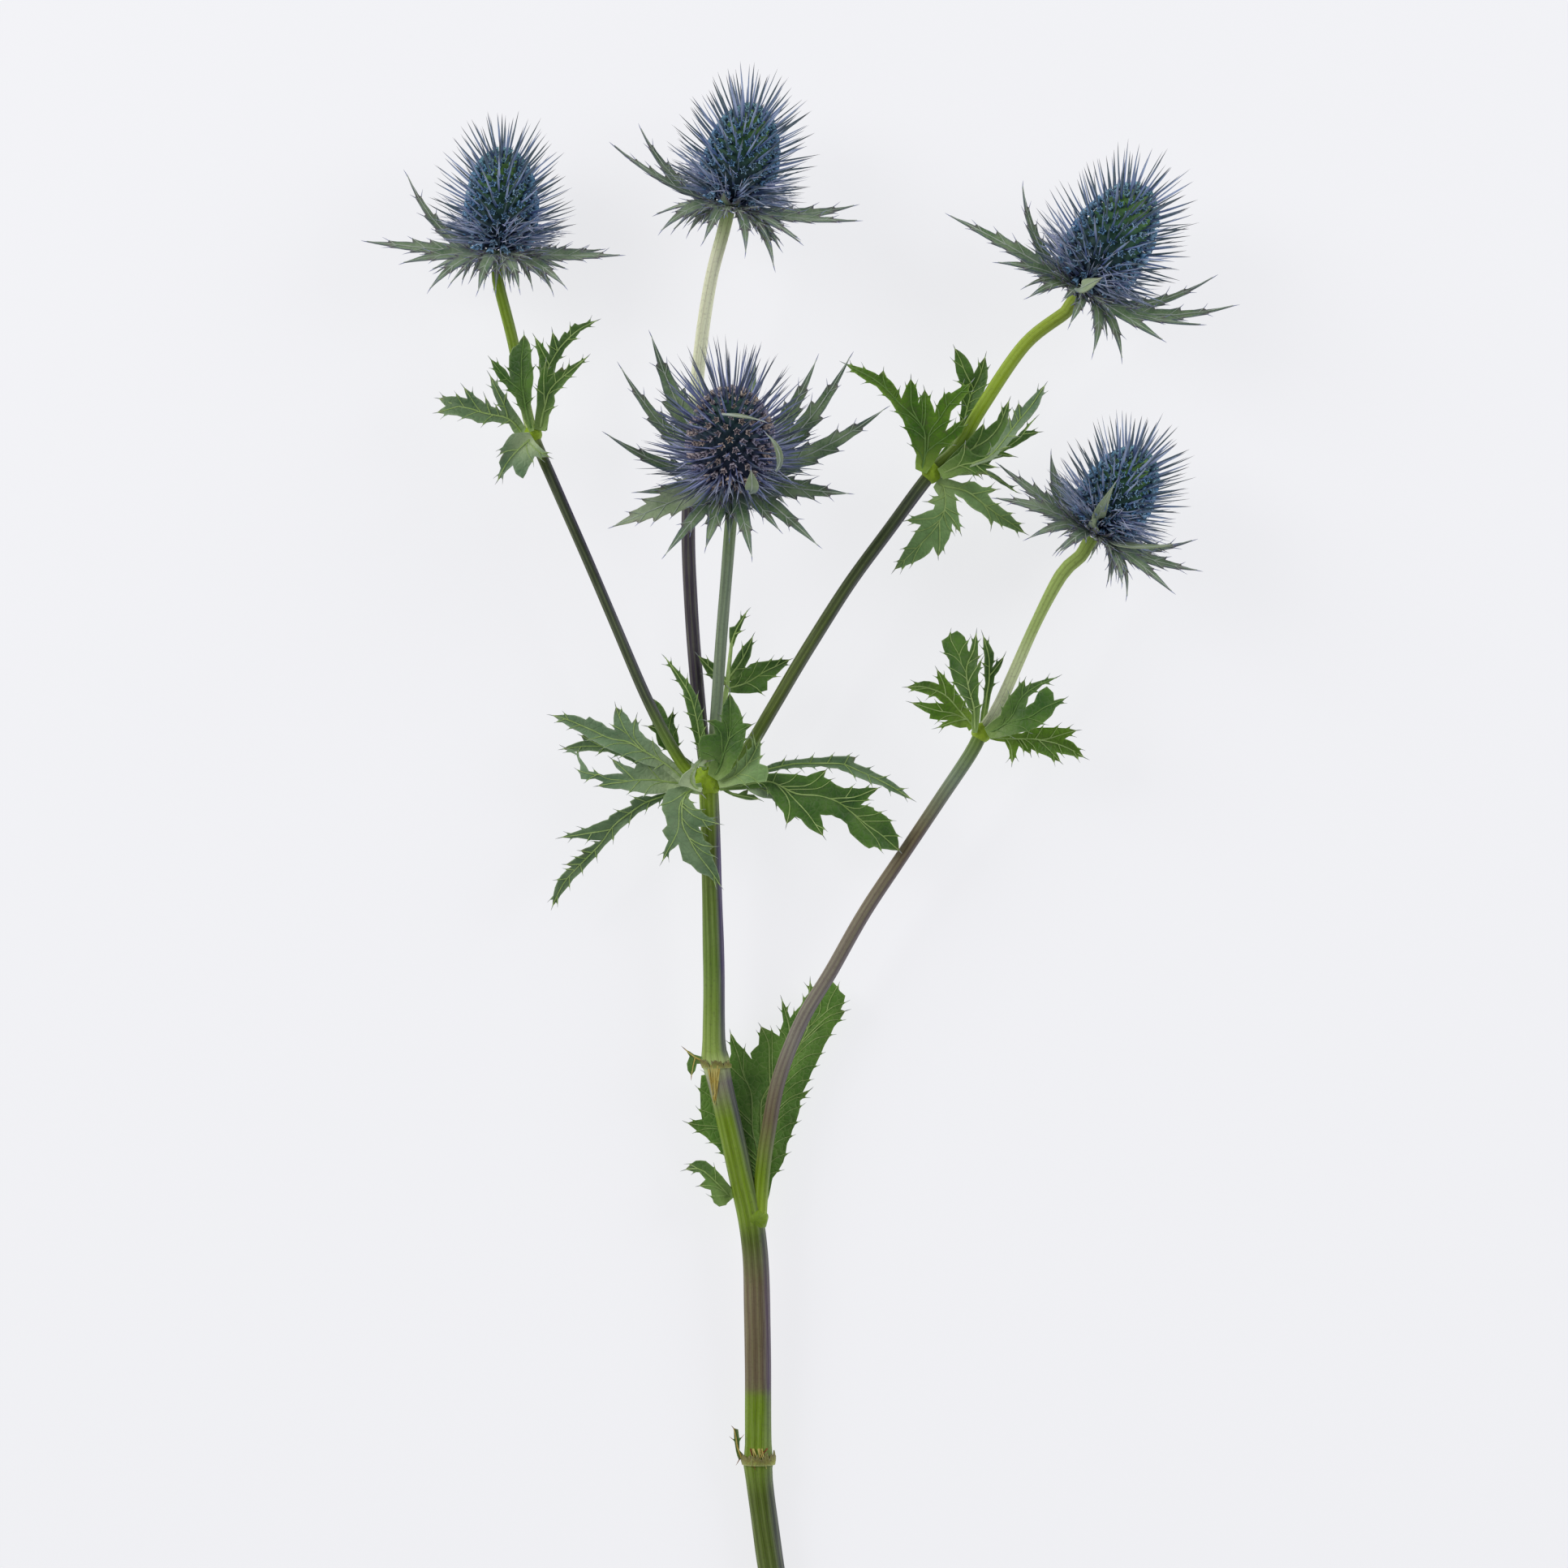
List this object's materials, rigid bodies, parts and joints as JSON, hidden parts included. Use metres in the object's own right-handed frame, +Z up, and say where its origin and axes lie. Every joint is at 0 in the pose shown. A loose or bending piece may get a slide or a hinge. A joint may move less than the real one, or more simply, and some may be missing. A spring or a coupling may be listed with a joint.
{
  "type": "sea holly stem",
  "caption": "Cut, forked sea holly stem lying flat, with spiny egg-shaped blue flower heads on stiff bract ruffs and lobed, toothed leaves at its nodes.",
  "frame": {"origin": "centre of the bounding box in plan, on the surface that the stem lies on", "axes": "+Y along the stem from the cut end to the heads, +Z up from the surface, +X to the right seen from above"},
  "size_m": [0.2241, 0.4002, 0.0678],
  "materials": {
    "stem": "satin, ribbed green stem with a purple flush",
    "leaf": "satin, green with pale veins",
    "bract": "matt, grey-green with violet edges",
    "cone": "matt, steel blue florets and violet bracteoles",
    "torn_tissue": "matt, dry torn fibres"
  },
  "bodies": {
    "root": {"stem": "stem", "left_leaf_side": "leaf", "left_leaf_upright": "leaf", "left_leaf_long": "leaf", "left_leaf_right": "leaf", "left_leaf_hanging": "leaf", "right_leaf_palm": "leaf", "right_leaf_back": "leaf", "right_leaf_right": "leaf", "right_leaf_hanging": "leaf", "low_leaf_broad": "leaf", "low_leaf_left": "leaf", "low_leaf_thin": "leaf", "low_leaf_cup": "leaf", "low_leaf_right": "leaf", "fork_leaf_left": "leaf", "fork_leaf_front": "leaf", "fork_leaf_long": "leaf", "fork_leaf_big": "leaf", "fork_leaf_middle": "leaf", "fork_leaf_folded": "leaf", "fork_leaf_behind": "leaf", "fork_leaf_spike": "leaf", "fork_shoot": "leaf", "stem_leaf_big": "leaf", "stem_leaf_curled": "leaf", "torn_leaf": "torn_tissue", "torn_stub": "torn_tissue", "ruff_left": "bract", "ruff_top": "bract", "ruff_right": "bract", "ruff_front": "bract", "ruff_low": "bract", "cone_left": "cone", "cone_top": "cone", "cone_right": "cone", "cone_front": "cone", "cone_low": "cone"}
  },
  "joints": []
}
